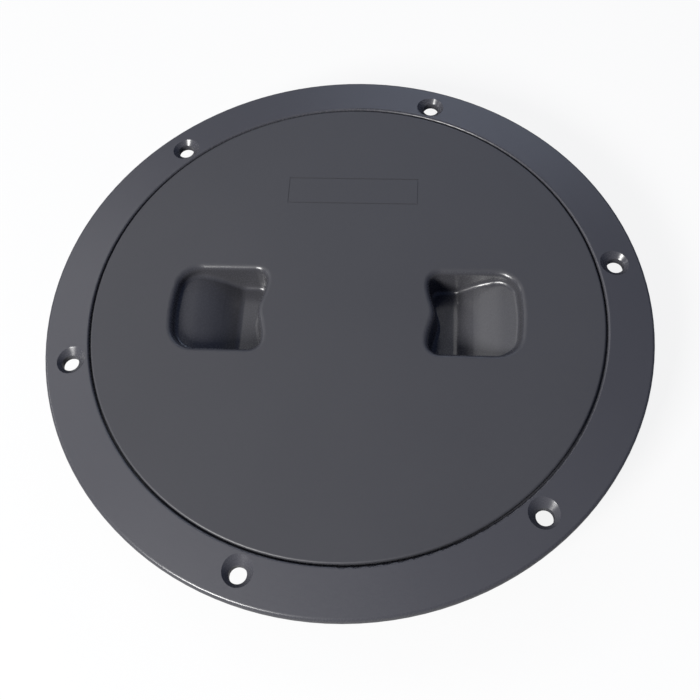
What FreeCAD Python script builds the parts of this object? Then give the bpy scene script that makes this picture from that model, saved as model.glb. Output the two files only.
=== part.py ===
import FreeCAD, Part
import math
import os

# Deck inspection plate: a flanged deck ring, a flush lid that screws into it, and the lid's rubber seal.
# Millimetres. The origin is on the axis in the plane of the deck that the flange lies on.
# +Z points up out of the deck, X runs through both finger pockets, Y points to the lid's top edge.

Vector = FreeCAD.Vector
AXIS_POINT = Vector(0, 0, 0)
UP = Vector(0, 0, 1)

# Radii, built outwards from the clear opening through the ring
opening_radius = 76.0
thread_depth = 2.6
seal_land_step = 1.4
ledge_width = 5.6
flange_width = 15.3
collar_wall = 4.4

# Heights above the deck plane
edge_height = 3.2
flange_height = 5.6
lid_proud = 0.1
lid_rim_thickness = 2.4
lid_plate_thickness = 3.0

# Clearances between the lid and the ring
rim_gap = 0.6
seat_gap = 0.2
thread_gap = 0.4
thread_play = 0.3

# Rounded edges
edge_round = 1.2
rim_round = 0.7
foot_round = 0.8
corner_fillet = 1.5

# Screw holes, countersunk for flat heads
hole_count = 6
hole_first_angle = 13.2
hole_edge_distance = 8.4
hole_radius = 2.8
countersink_radius = 4.8
countersink_half_angle = 45.0

# Bedding groove under the flange, for sealant
groove_edge_distance = 12.0
groove_width = 2.5
groove_depth = 0.8

# Seal and its groove
seal_section = 3.5
seal_gap = 0.25
shoulder_height = 1.2
shoulder_slope = 1.0

# Skirt, collar and thread
skirt_depth = 16.0
skirt_wall = 3.0
collar_overhang = 3.0
thread_lead = 6.0
thread_crest_width = 1.4
thread_flank_slope = 0.31
thread_bite = 0.6
thread_end_margin = 0.3
thread_runout_angle = 12.0
thread_feather = 0.2

# Finger pockets
pocket_start = 27.5
pocket_length = 30.4
pocket_width = 30.4
pocket_inner_corner = 4.0
pocket_outer_corner = 8.0
pocket_grip_bulge = 2.0
pocket_draft = 3.0
pocket_floor_round = 1.6
pocket_mouth_round = 2.0
pocket_wall = 2.5

# Floor of a pocket: a deep heel for the fingertips, a ramp, and a shallow shelf to the outer end
pocket_deep = 12.2
ramp_foot_distance = 9.7
ramp_foot_depth = 11.6
ramp_head_distance = 19.5
ramp_head_depth = 5.3
pocket_shallow = 3.5
ramp_foot_round = 4.0
ramp_head_round = 25.0

# Stiffening ribs under the lid
rib_thickness = 2.0
rib_depth = 5.5
tie_rib_spacing = 18.0

# Empty frame line on the lid, where a name plate would go
plate_line_length = 46.0
plate_line_height = 11.0
plate_line_distance = 48.3
plate_line_width = 0.35
plate_line_depth = 0.15

# Sizes worked out from the ones above
bore_radius = opening_radius + thread_depth
seal_land_radius = bore_radius + seal_land_step
recess_radius = seal_land_radius + ledge_width
plate_radius = recess_radius + flange_width
collar_radius = bore_radius + collar_wall
hole_circle_radius = plate_radius - hole_edge_distance

lid_top = flange_height + lid_proud
lid_rim_underside = lid_top - lid_rim_thickness
lid_plate_underside = lid_top - lid_plate_thickness
ledge_height = lid_rim_underside - seat_gap
lid_radius = recess_radius - rim_gap
lid_thread_crest = bore_radius - thread_gap
skirt_radius = opening_radius - thread_gap
skirt_bore = skirt_radius - skirt_wall
collar_depth = skirt_depth + collar_overhang

seal_radius = seal_land_radius - seal_gap - seal_section / 2
seal_groove_radius = seal_radius - seal_section / 2 - seal_gap
seal_height = lid_rim_underside - seal_gap - seal_section / 2
shoulder_top = seal_height - seal_section / 2 - seal_gap
shoulder_bottom = shoulder_top - shoulder_height
skirt_top = shoulder_bottom - shoulder_slope
land_bottom = shoulder_top - thread_gap

thread_root_width = thread_crest_width + 2 * thread_flank_slope * thread_depth
thread_overlap = lid_thread_crest - opening_radius
thread_offset = thread_crest_width + thread_flank_slope * thread_overlap + thread_play

pocket_end = pocket_start + pocket_length


# Closed outline through (radius, height, rounding) corners, in the plane y = 0
def outline(corners):
    edges = []
    starts = []
    ends = []
    count = len(corners)
    for index in range(count):
        here = Vector(corners[index][0], 0, corners[index][1])
        before = Vector(corners[index - 1][0], 0, corners[index - 1][1])
        after = Vector(corners[(index + 1) % count][0], 0, corners[(index + 1) % count][1])
        rounding = corners[index][2]
        to_before = (before - here).normalize()
        to_after = (after - here).normalize()
        if rounding == 0:
            starts.append(here)
            ends.append(here)
            continue
        half_angle = to_before.getAngle(to_after) / 2
        reach = rounding / math.tan(half_angle)
        bisector = (to_before + to_after).normalize()
        centre = here + bisector * (rounding / math.sin(half_angle))
        starts.append(here + to_before * reach)
        ends.append(here + to_after * reach)
        edges.append(Part.Arc(starts[-1], centre - bisector * rounding, ends[-1]).toShape())
    for index in range(count):
        edges.append(Part.LineSegment(ends[index], starts[(index + 1) % count]).toShape())
    return Part.Wire(Part.__sortEdges__(edges))


# Solid of revolution about Z from such an outline
def turned(corners):
    return Part.Face(outline(corners)).revolve(AXIS_POINT, UP, 360)


# Wedge that slopes a ridge's end down towards its root, at a height on the ridge's centre line.
# The ridge lies on the side that way points to: 1 for its lower end, -1 for its upper end.
def thread_runout(root, crest, side, height, way):
    run = math.radians(thread_runout_angle)
    margin = 2 * thread_depth
    tip = Vector(root + side * thread_feather, 0, 0)
    full = Vector(crest * math.cos(run), way * crest * math.sin(run), 0)
    along = (full - tip).normalize()
    away = Vector(way * along.y, -way * along.x, 0) * side
    wedge = Part.Face(Part.makePolygon([
        tip - along * margin,
        full + along,
        full + along + away * margin,
        tip - along * margin + away * margin,
        tip - along * margin,
    ])).extrude(UP * thread_lead)
    wedge.translate(Vector(0, 0, height - thread_lead / 2))
    wedge.rotate(AXIS_POINT, UP, 360 * height / thread_lead)
    return wedge


# One helical ridge, from the root surface to the crest surface, between two heights of its centre line
def thread_ridge(root, crest, low, high, offset):
    side = 1 if crest > root else -1
    back = root - side * thread_bite
    back_half = thread_crest_width / 2 + thread_flank_slope * abs(crest - back)
    crest_half = thread_crest_width / 2
    section = Part.makePolygon([
        Vector(back, 0, -back_half),
        Vector(crest, 0, -crest_half),
        Vector(crest, 0, crest_half),
        Vector(back, 0, back_half),
        Vector(back, 0, -back_half),
    ])
    path = Part.Wire(Part.makeHelix(thread_lead, high - low, root).Edges)
    ridge = path.makePipeShell([section], True, True)
    ridge = ridge.cut([
        thread_runout(root, crest, side, 0, 1),
        thread_runout(root, crest, side, high - low, -1),
    ])
    ridge.rotate(AXIS_POINT, UP, 360 * (low + offset) / thread_lead)
    ridge.translate(Vector(0, 0, low))
    return ridge


# Flange, ledge, seal land and collar in one profile
def ring_body():
    return turned([
        (collar_radius, 0, 0),
        (plate_radius, 0, 0),
        (plate_radius, edge_height, edge_round),
        (recess_radius, flange_height, rim_round),
        (recess_radius, ledge_height, 0),
        (seal_land_radius, ledge_height, rim_round),
        (seal_land_radius, land_bottom, 0),
        (bore_radius, land_bottom - seal_land_step, 0),
        (bore_radius, -collar_depth, foot_round),
        (collar_radius, -collar_depth, foot_round),
    ])


# Cutter for one countersunk hole at the first hole's place, before it is turned round the circle
def screw_hole():
    slope = (flange_height - edge_height) / flange_width
    surface = edge_height + slope * hole_edge_distance
    sink_depth = (countersink_radius - hole_radius) / math.tan(math.radians(countersink_half_angle))
    above = flange_height
    mouth_radius = countersink_radius + above * math.tan(math.radians(countersink_half_angle))
    shaft = Part.makeCylinder(hole_radius, 2 * flange_height, Vector(0, 0, -flange_height / 2))
    cone = Part.makeCone(hole_radius, mouth_radius, sink_depth + above, Vector(0, 0, surface - sink_depth))
    cutter = shaft.fuse(cone)
    cutter.translate(Vector(hole_circle_radius, 0, 0))
    return cutter


def deck_ring():
    ring = ring_body()
    hole = screw_hole()
    cutters = []
    for index in range(hole_count):
        angle = hole_first_angle + index * 360 / hole_count
        cutters.append(hole.rotated(AXIS_POINT, UP, angle))
    groove_outer = plate_radius - groove_edge_distance
    cutters.append(turned([
        (groove_outer - groove_width, -groove_depth, 0),
        (groove_outer, -groove_depth, 0),
        (groove_outer, groove_depth, groove_depth / 2),
        (groove_outer - groove_width, groove_depth, groove_depth / 2),
    ]))
    ring = ring.cut(cutters)
    low = -collar_depth + foot_round + thread_root_width / 2 + thread_end_margin
    high = land_bottom - seal_land_step - thread_root_width / 2 - thread_end_margin
    return ring.fuse(thread_ridge(bore_radius, opening_radius, low, high, 0))


# Plan of a finger pocket at a height, drawn in from its mouth by an inset
def pocket_plan(inset, height):
    half = pocket_width / 2 - inset
    start = pocket_start + inset
    end = pocket_end - inset
    inner = pocket_inner_corner - inset
    outer = pocket_outer_corner - inset
    outer_x = math.sqrt((end - outer) ** 2 - (half - outer) ** 2)
    reach = end / (end - outer)
    diagonal = math.sqrt(0.5)
    grip_half = half - inner

    def point(x, y):
        return Vector(x, y, height)

    def corner(centre_x, centre_y, radius, first, last, direction_x, direction_y):
        middle = point(centre_x + direction_x * radius, centre_y + direction_y * radius)
        return Part.Arc(first, middle, last).toShape()

    grip = Part.BSplineCurve()
    grip.interpolate(
        Points=[point(start, -grip_half), point(start + pocket_grip_bulge, 0), point(start, grip_half)],
        InitialTangent=Vector(0, 1, 0),
        FinalTangent=Vector(0, 1, 0),
    )
    edges = [grip.toShape()]
    edges.append(corner(start + inner, grip_half, inner, point(start, grip_half),
                        point(start + inner, half), -diagonal, diagonal))
    edges.append(Part.LineSegment(point(start + inner, half), point(outer_x, half)).toShape())
    turn = (math.pi / 2 + math.atan2(half - outer, outer_x)) / 2
    tangent_x = outer_x * reach
    tangent_y = (half - outer) * reach
    edges.append(corner(outer_x, half - outer, outer, point(outer_x, half),
                        point(tangent_x, tangent_y), math.cos(turn), math.sin(turn)))
    edges.append(Part.Arc(point(tangent_x, tangent_y), point(end, 0), point(tangent_x, -tangent_y)).toShape())
    edges.append(corner(outer_x, outer - half, outer, point(tangent_x, -tangent_y),
                        point(outer_x, -half), math.cos(turn), -math.sin(turn)))
    edges.append(Part.LineSegment(point(outer_x, -half), point(start + inner, -half)).toShape())
    edges.append(corner(start + inner, -grip_half, inner, point(start + inner, -half),
                        point(start, -grip_half), -diagonal, -diagonal))
    return Part.Wire(edges)


# Side view of a pocket's inside above its floor, the floor lowered by a drop
def pocket_side(top, drop):
    foot = pocket_start + ramp_foot_distance
    head = pocket_start + ramp_head_distance
    near = pocket_start - 2 * pocket_wall
    far = pocket_end + 2 * pocket_wall
    heel_slope = (pocket_deep - ramp_foot_depth) / ramp_foot_distance
    shelf_slope = (ramp_head_depth - pocket_shallow) / (pocket_end - head)
    floor = lid_top - drop
    return [
        (near, floor - ramp_foot_depth - heel_slope * (foot - near), 0),
        (foot, floor - ramp_foot_depth, ramp_foot_round),
        (head, floor - ramp_head_depth, ramp_head_round),
        (far, floor - ramp_head_depth + shelf_slope * (far - head), 0),
        (far, top + 1, 0),
        (near, top + 1, 0),
    ]


# Tapered column on the pocket's plan, cut off below by the floor lowered by a drop
def pocket_column(outset, top, drop):
    depth = pocket_deep + pocket_wall + lid_top
    taper = math.tan(math.radians(pocket_draft))
    upper = pocket_plan((lid_top - top) * taper - outset, top)
    lower = pocket_plan(depth * taper - outset, lid_top - depth)
    column = Part.makeLoft([upper, lower], True, True)
    keep = Part.Face(outline(pocket_side(top, drop))).extrude(Vector(0, 2 * pocket_width, 0))
    keep.translate(Vector(0, -pocket_width, 0))
    return column.common(keep)


# Edges where the floor of a pocket column meets its walls
def floor_edges(column):
    edges = []
    for face in column.Faces:
        u_low, u_high, v_low, v_high = face.ParameterRange
        normal = face.normalAt((u_low + u_high) / 2, (v_low + v_high) / 2)
        if normal.z < -0.5 and abs(normal.y) < 0.001:
            edges += face.Edges
    return [edge for edge in edges if sum(edge.isSame(other) for other in edges) == 1]


def pocket_hollow():
    column = pocket_column(0, lid_top, 0)
    return column.makeFillet(pocket_floor_round, floor_edges(column))


def pocket_well():
    column = pocket_column(pocket_wall, lid_plate_underside + pocket_wall / 2, pocket_wall)
    return column.makeFillet(corner_fillet, floor_edges(column))


# Both copies of a shape, at the pocket and opposite it
def both_sides(shape):
    return [shape, shape.rotated(AXIS_POINT, UP, 180)]


# Plate, rim, seal groove and skirt in one profile
def lid_body():
    return turned([
        (0, lid_top, 0),
        (0, lid_plate_underside, 0),
        (skirt_bore, lid_plate_underside, corner_fillet),
        (skirt_bore, -skirt_depth, rim_round),
        (skirt_radius, -skirt_depth, rim_round),
        (skirt_radius, skirt_top, 0),
        (lid_thread_crest, shoulder_bottom, 0),
        (lid_thread_crest, shoulder_top, 0),
        (seal_groove_radius, shoulder_top, 0),
        (seal_groove_radius, lid_rim_underside, 0),
        (lid_radius, lid_rim_underside, 0),
        (lid_radius, lid_top, rim_round),
    ])


def rib(x_low, x_high, y_low, y_high):
    top = lid_plate_underside + rib_thickness / 2
    low = lid_plate_underside - rib_depth
    return Part.makeBox(x_high - x_low, y_high - y_low, top - low, Vector(x_low, y_low, low))


# Ribs that tie the wells to each other and to the skirt
def ribs():
    half = rib_thickness / 2
    well_x = pocket_start - pocket_wall / 2
    well_y = pocket_width / 2
    skirt_reach = skirt_bore + skirt_wall / 2
    beside = math.sqrt(skirt_reach ** 2 - (well_x + half) ** 2)
    shapes = []
    for side in (-1, 1):
        tie_y = side * tie_rib_spacing / 2
        shapes.append(rib(-well_x, well_x, tie_y - half, tie_y + half))
        shapes += both_sides(rib(side * well_x - half, side * well_x + half, well_y, beside))
    shapes += both_sides(rib(pocket_end, skirt_reach, -half, half))
    return shapes


# Thin rectangular line sunk in the lid's top
def plate_line():
    low = lid_top - plate_line_depth

    def slab(grow):
        length = plate_line_length + 2 * grow
        height = plate_line_height + 2 * grow
        corner = Vector(-length / 2, plate_line_distance - height / 2, low)
        return Part.makeBox(length, height, 2 * plate_line_depth, corner)

    return slab(0).cut(slab(-plate_line_width))


# Edges of the pocket mouths in the lid's top face
def mouth_edges(shape):
    found = []
    for edge in shape.Edges:
        box = edge.BoundBox
        level = box.ZMin > lid_top - 0.001 and box.ZMax < lid_top + 0.001
        centre_x = abs(box.Center.x)
        if level and pocket_start - 1 < centre_x < pocket_end + 1 and box.YMax < pocket_width:
            found.append(edge)
    return found


def lid():
    shape = lid_body()
    wells = both_sides(pocket_well())
    shape = shape.fuse(wells + ribs())
    shape = shape.cut(both_sides(pocket_hollow()))
    shape = shape.makeFillet(pocket_mouth_round, mouth_edges(shape))
    shape = shape.cut(plate_line())
    low = -skirt_depth + thread_root_width / 2 + thread_end_margin
    high = skirt_top - thread_root_width / 2 - thread_end_margin
    return shape.fuse(thread_ridge(skirt_radius, lid_thread_crest, low, high, thread_offset))


def o_ring():
    return Part.makeTorus(seal_radius, seal_section / 2, Vector(0, 0, seal_height))


parts = {
    "deck_ring": deck_ring(),
    "lid": lid(),
    "o_ring": o_ring(),
}

os.makedirs("parts", exist_ok=True)
for name, shape in parts.items():
    box = shape.BoundBox
    print(name, "solids", len(shape.Solids), "volume", round(shape.Volume), "faces", len(shape.Faces),
          "valid", shape.isValid(), "z", round(box.ZMin, 2), round(box.ZMax, 2))
    shape.exportStep(f"parts/{name}.step")
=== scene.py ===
import math
import bpy
from mathutils import Matrix, Quaternion, Vector


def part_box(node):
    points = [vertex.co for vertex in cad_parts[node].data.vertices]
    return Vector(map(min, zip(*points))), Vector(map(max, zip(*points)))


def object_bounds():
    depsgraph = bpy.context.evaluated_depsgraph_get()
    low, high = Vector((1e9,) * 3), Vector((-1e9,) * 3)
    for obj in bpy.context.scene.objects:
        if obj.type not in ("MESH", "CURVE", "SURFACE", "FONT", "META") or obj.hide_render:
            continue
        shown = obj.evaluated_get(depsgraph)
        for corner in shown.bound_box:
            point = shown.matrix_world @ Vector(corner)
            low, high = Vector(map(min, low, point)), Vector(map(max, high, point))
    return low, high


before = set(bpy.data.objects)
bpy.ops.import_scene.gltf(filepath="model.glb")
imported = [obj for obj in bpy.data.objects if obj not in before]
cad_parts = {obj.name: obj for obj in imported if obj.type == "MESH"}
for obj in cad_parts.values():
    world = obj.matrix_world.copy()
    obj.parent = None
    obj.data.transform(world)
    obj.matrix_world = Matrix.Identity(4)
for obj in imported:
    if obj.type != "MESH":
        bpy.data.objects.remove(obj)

# Deck inspection plate: a satin grey moulded ring and screw-in lid, with a rubber seal between.
# All lengths are in metres unless a note says otherwise. The plate's axis is Z.
cadLow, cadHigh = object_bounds()
scene = bpy.context.scene
print("frame loaded, box", [round(v, 4) for v in (*cadLow, *cadHigh)])


# camera, at the photograph's viewing angle
cameraValues = {
    "place": (0.0241, -0.1541, 0.2772),  # where the camera stands
    "aim": (0.0024, -0.0150, 0.0055),  # where its axis meets the lid
    "roll": -6.35,  # degrees, the picture's tilt
    "lens": 48.59,  # millimetres
    "sensor": 36,  # millimetres
    "clip": (0.01, 10),
}


def makeCamera():
    data = bpy.data.cameras.new("camera")
    data.lens = cameraValues["lens"]
    data.sensor_width = cameraValues["sensor"]
    data.clip_start, data.clip_end = cameraValues["clip"]
    camera = bpy.data.objects.new("camera", data)
    scene.collection.objects.link(camera)
    place = Vector(cameraValues["place"])
    look = Vector(cameraValues["aim"]) - place
    turn = look.to_track_quat("-Z", "Y")
    roll = Quaternion((0, 0, 1), math.radians(cameraValues["roll"]))
    camera.rotation_mode = "QUATERNION"
    camera.rotation_quaternion = turn @ roll
    camera.location = place
    scene.camera = camera


makeCamera()
print("camera set")


# shader helpers, where a value is another node's socket or a plain number, vector or colour
noiseSpan = (0.3, 0.7)  # nearly all of a noise's values lie in here
mixSockets = {"FLOAT": (2, 3, 0), "VECTOR": (4, 5, 1), "RGBA": (6, 7, 2)}  # first, second, result


def newMaterial(name):
    material = bpy.data.materials.new(name)
    material.use_nodes = True
    nodes = material.node_tree.nodes
    links = material.node_tree.links
    nodes.clear()
    output = nodes.new("ShaderNodeOutputMaterial")
    shader = nodes.new("ShaderNodeBsdfPrincipled")
    links.new(shader.outputs["BSDF"], output.inputs["Surface"])
    return material, nodes, links, shader


def feed(links, value, socket):
    if isinstance(value, bpy.types.NodeSocket):
        links.new(value, socket)
    else:
        socket.default_value = value


def noiseFrom(nodes, links, place, size, detail):
    noise = nodes.new("ShaderNodeTexNoise")
    noise.inputs["Scale"].default_value = 1 / size  # size is one blotch
    noise.inputs["Detail"].default_value = detail
    links.new(place, noise.inputs["Vector"])
    return noise.outputs["Fac"]


def mapTo(nodes, links, value, span, result):
    ramp = nodes.new("ShaderNodeMapRange")
    ramp.inputs["From Min"].default_value, ramp.inputs["From Max"].default_value = span
    ramp.inputs["To Min"].default_value, ramp.inputs["To Max"].default_value = result
    links.new(value, ramp.inputs["Value"])
    return ramp.outputs["Result"]


def mixOf(nodes, links, kind, share, first, second):
    mix = nodes.new("ShaderNodeMix")
    mix.data_type = kind
    firstSocket, secondSocket, resultSocket = mixSockets[kind]
    links.new(share, mix.inputs[0])
    feed(links, first, mix.inputs[firstSocket])
    feed(links, second, mix.inputs[secondSocket])
    return mix.outputs[resultSocket]


def mixShaders(nodes, links, share, first, second):
    mix = nodes.new("ShaderNodeMixShader")
    links.new(share, mix.inputs[0])
    links.new(first.outputs[0], mix.inputs[1])
    links.new(second.outputs[0], mix.inputs[2])
    return mix.outputs[0]


def maths(nodes, links, operation, first, second):
    node = nodes.new("ShaderNodeMath")
    node.operation = operation
    feed(links, first, node.inputs[0])
    feed(links, second, node.inputs[1])
    return node.outputs["Value"]


def vectorMaths(nodes, links, operation, first, second=(0, 0, 0)):
    node = nodes.new("ShaderNodeVectorMath")
    node.operation = operation
    feed(links, first, node.inputs[0])
    feed(links, second, node.inputs[1])
    return node.outputs["Value" if operation == "LENGTH" else "Vector"]


def heightOf(nodes, links, vector):
    axes = nodes.new("ShaderNodeSeparateXYZ")
    links.new(vector, axes.inputs["Vector"])
    return axes.outputs["Z"]


def grainBump(nodes, links, grain, height):
    bump = nodes.new("ShaderNodeBump")
    bump.inputs["Distance"].default_value = height
    links.new(grain, bump.inputs["Height"])
    return bump


# moulded plastic: the top faces are grained, and edges, countersinks, pockets and walls are smooth
plasticValues = {
    "cloudSize": 0.045,  # faint, broad changes of colour
    "cloudDetail": 3,
    "grainSize": 0.0006,
    "grainDetail": 2,
    "grainHeight": 0.000012,
    "specular": 0.68,  # a hard glossy plastic, index about 1.6
    "smoothRough": (0.25, 0.29),
    "smoothGrain": 0.15,  # share of the grain's height left on the smooth surfaces
}


def mouldedPlastic(name, values, topMask, edgeNormal=None):
    material, nodes, links, shader = newMaterial(name)
    place = nodes.new("ShaderNodeTexCoord").outputs["Object"]
    cloud = noiseFrom(nodes, links, place, plasticValues["cloudSize"], plasticValues["cloudDetail"])
    grain = noiseFrom(nodes, links, place, plasticValues["grainSize"], plasticValues["grainDetail"])
    top = topMask(nodes, links, place)  # 1 on the grained top, 0 on smooth surfaces
    colour = mixOf(nodes, links, "RGBA", cloud, values["dark"], values["light"])
    links.new(colour, shader.inputs["Base Color"])
    smoothRough = mapTo(nodes, links, grain, noiseSpan, plasticValues["smoothRough"])
    topRough = mapTo(nodes, links, grain, noiseSpan, values["topRough"])
    rough = mixOf(nodes, links, "FLOAT", top, smoothRough, topRough)
    links.new(rough, shader.inputs["Roughness"])
    shader.inputs["Specular IOR Level"].default_value = plasticValues["specular"]
    bump = grainBump(nodes, links, grain, plasticValues["grainHeight"])
    strength = mapTo(nodes, links, top, (0, 1), (plasticValues["smoothGrain"], 1))
    links.new(strength, bump.inputs["Strength"])
    if edgeNormal:
        links.new(edgeNormal(nodes, links, place), bump.inputs["Normal"])
    links.new(bump.outputs["Normal"], shader.inputs["Normal"])
    return material


# ring, a little lighter and glossier than the lid
ringValues = {
    "dark": (0.071, 0.071, 0.081, 1),
    "light": (0.081, 0.081, 0.091, 1),
    "topRough": (0.38, 0.46),
    "topTilt": (0.94, 0.975),  # how upright a face is before it counts as the top
    "roundMiddle": (0.0863, 0.00478),  # radius and height, the round at the edge of the lid's recess
    "roundEnd": 0.08642,  # radius where that round meets the top
}


def ringTopMask(nodes, links, place):
    direction = nodes.new("ShaderNodeTexCoord").outputs["Normal"]
    return mapTo(nodes, links, heightOf(nodes, links, direction), ringValues["topTilt"], (0, 1))


def ringEdgeNormal(nodes, links, place):
    # the true direction of the recess edge's round, so its highlight is one even line
    radius, height = ringValues["roundMiddle"]
    flat = vectorMaths(nodes, links, "MULTIPLY", place, (1, 1, 0))
    outward = vectorMaths(nodes, links, "NORMALIZE", flat)
    circle = vectorMaths(nodes, links, "MULTIPLY", outward, (radius, radius, radius))
    middle = vectorMaths(nodes, links, "ADD", circle, (0, 0, height))
    away = vectorMaths(nodes, links, "SUBTRACT", place, middle)
    turned = nodes.new("ShaderNodeVectorTransform")
    turned.vector_type = "NORMAL"
    turned.convert_from = "OBJECT"
    turned.convert_to = "WORLD"
    links.new(vectorMaths(nodes, links, "NORMALIZE", away), turned.inputs["Vector"])
    reach = vectorMaths(nodes, links, "LENGTH", flat)
    inside = maths(nodes, links, "LESS_THAN", reach, ringValues["roundEnd"])
    above = maths(nodes, links, "GREATER_THAN", heightOf(nodes, links, place), height)
    onRound = maths(nodes, links, "MULTIPLY", inside, above)
    plain = nodes.new("ShaderNodeNewGeometry").outputs["Normal"]
    return mixOf(nodes, links, "VECTOR", onRound, plain, turned.outputs["Vector"])


# lid
lidValues = {
    "dark": (0.057, 0.057, 0.064, 1),
    "light": (0.066, 0.066, 0.073, 1),
    "topRough": (0.48, 0.56),
    "topDepth": 0.0004,  # the grain fades out over this depth below the top
}


def lidTopMask(nodes, links, place):
    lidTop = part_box("lid")[1].z
    span = (lidTop - lidValues["topDepth"], lidTop)
    return mapTo(nodes, links, heightOf(nodes, links, place), span, (0, 1))


# seal
sealValues = {
    "colour": (0.018, 0.018, 0.019, 1),
    "rough": 0.6,
    "grainSize": 0.0003,
    "grainDetail": 2,
    "grainHeight": 0.00002,
}


def sealRubber(name):
    material, nodes, links, shader = newMaterial(name)
    place = nodes.new("ShaderNodeTexCoord").outputs["Object"]
    grain = noiseFrom(nodes, links, place, sealValues["grainSize"], sealValues["grainDetail"])
    shader.inputs["Base Color"].default_value = sealValues["colour"]
    shader.inputs["Roughness"].default_value = sealValues["rough"]
    bump = grainBump(nodes, links, grain, sealValues["grainHeight"])
    links.new(bump.outputs["Normal"], shader.inputs["Normal"])
    return material


creaseAngle = 32  # degrees, an edge that turns further than this stays crisp


def dressNode(name, material):
    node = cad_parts[name]
    node.data.materials.clear()
    node.data.materials.append(material)
    node.data.shade_smooth()
    node.data.set_sharp_from_angle(angle=math.radians(creaseAngle))
    weighted = node.modifiers.new("flatFacesStayFlat", "WEIGHTED_NORMAL")
    weighted.keep_sharp = True


ringPlastic = mouldedPlastic("ringPlastic", ringValues, ringTopMask, ringEdgeNormal)
dressNode("deck_ring", ringPlastic)
dressNode("lid", mouldedPlastic("lidPlastic", lidValues, lidTopMask))
dressNode("o_ring", sealRubber("sealRubber"))
print("pieces dressed")


# floor
floorValues = {
    "size": 6.0,
    "colour": (0.28, 0.28, 0.28, 1),  # as the object sees it
    "seenColour": (0.95, 0.95, 0.95, 1),  # as the camera sees it
    "rough": 0.9,
    "whiteShare": 0.88,  # how much of its look is plain white, the rest keeps the shadow
    "shadowReach": (0.25, 0.8),  # distance from the middle over which it turns all white
}


def makeFloor():
    half = floorValues["size"] / 2
    height = cadLow.z
    corners = [(x, y, height) for x, y in ((-half, -half), (half, -half), (half, half), (-half, half))]
    mesh = bpy.data.meshes.new("floor")
    mesh.from_pydata(corners, [], [(0, 1, 2, 3)])
    floor = bpy.data.objects.new("floor", mesh)
    scene.collection.objects.link(floor)
    material, nodes, links, shader = newMaterial("floorPaint")
    seen = nodes.new("ShaderNodeLightPath").outputs["Is Camera Ray"]
    paint = mixOf(nodes, links, "RGBA", seen, floorValues["colour"], floorValues["seenColour"])
    links.new(paint, shader.inputs["Base Color"])
    shader.inputs["Roughness"].default_value = floorValues["rough"]
    white = nodes.new("ShaderNodeEmission")
    place = nodes.new("ShaderNodeTexCoord").outputs["Object"]
    reach = vectorMaths(nodes, links, "LENGTH", place)
    whiteHere = mapTo(nodes, links, reach, floorValues["shadowReach"], (floorValues["whiteShare"], 1))
    share = maths(nodes, links, "MULTIPLY", seen, whiteHere)
    surface = mixShaders(nodes, links, share, shader, white)
    links.new(surface, nodes["Material Output"].inputs["Surface"])
    mesh.materials.append(material)


makeFloor()
print("floor laid")


# lamps, each aimed at the middle of the plate; the long side lies along X where no line is given
lampValues = {
    "key": {
        "place": (-0.65, -0.845, 0.74), "size": (0.40, 0.40),
        "power": 19.5, "colour": (1, 0.99, 0.97),
    },
    "sidePanel": {
        "place": (-0.585, 0.64, 0.975), "size": (1.05, 0.40), "along": (-0.81, 0.01, -0.59),
        "power": 2.0, "colour": (1, 0.985, 0.96),
    },
    "sideLamp": {
        "place": (-1.1, 0.21, 0.65), "size": (0.24, 0.24),
        "power": 1.1, "colour": (1, 0.99, 0.97),
    },
    "frontGlow": {
        "place": (-0.66, -0.33, 1.05), "size": (0.35, 0.35),
        "power": 0.8, "colour": (1, 0.97, 0.92),
    },
    "backPanel": {
        "place": (0.20, 1.12, 0.62), "size": (0.7, 0.3),
        "power": 1.6, "colour": (0.70, 0.80, 1),
    },
}


def lampTurn(place, along):
    away = place.normalized()
    across = away.cross(along).normalized()
    return Matrix((across.cross(away), across, away)).transposed().to_quaternion()


def makeLamps():
    for name, values in lampValues.items():
        data = bpy.data.lights.new(name, "AREA")
        data.shape = "RECTANGLE"
        data.size, data.size_y = values["size"]
        data.energy = values["power"]
        data.color = values["colour"]
        lamp = bpy.data.objects.new(name, data)
        place = Vector(values["place"])
        along = Vector(values.get("along", (1, 0, 0)))
        lamp.location = place
        lamp.rotation_mode = "QUATERNION"
        lamp.rotation_quaternion = lampTurn(place, along)
        scene.collection.objects.link(lamp)


# world: a dim cool light all round, and plain white where the camera looks past the floor
worldValues = {
    "colour": (0.4074, 0.5333, 1, 1),
    "strength": 0.1215,
    "seenColour": (1, 1, 1, 1),
    "seenStrength": 1,
}


def backgroundOf(nodes, colour, strength):
    background = nodes.new("ShaderNodeBackground")
    background.inputs["Color"].default_value = colour
    background.inputs["Strength"].default_value = strength
    return background


def makeWorld():
    world = bpy.data.worlds.new("studio")
    scene.world = world
    world.use_nodes = True
    nodes = world.node_tree.nodes
    links = world.node_tree.links
    nodes.clear()
    output = nodes.new("ShaderNodeOutputWorld")
    light = backgroundOf(nodes, worldValues["colour"], worldValues["strength"])
    white = backgroundOf(nodes, worldValues["seenColour"], worldValues["seenStrength"])
    seen = nodes.new("ShaderNodeLightPath").outputs["Is Camera Ray"]
    links.new(mixShaders(nodes, links, seen, light, white), output.inputs["Surface"])


makeLamps()
makeWorld()
scene.view_settings.view_transform = "Standard"
print("lamps lit")
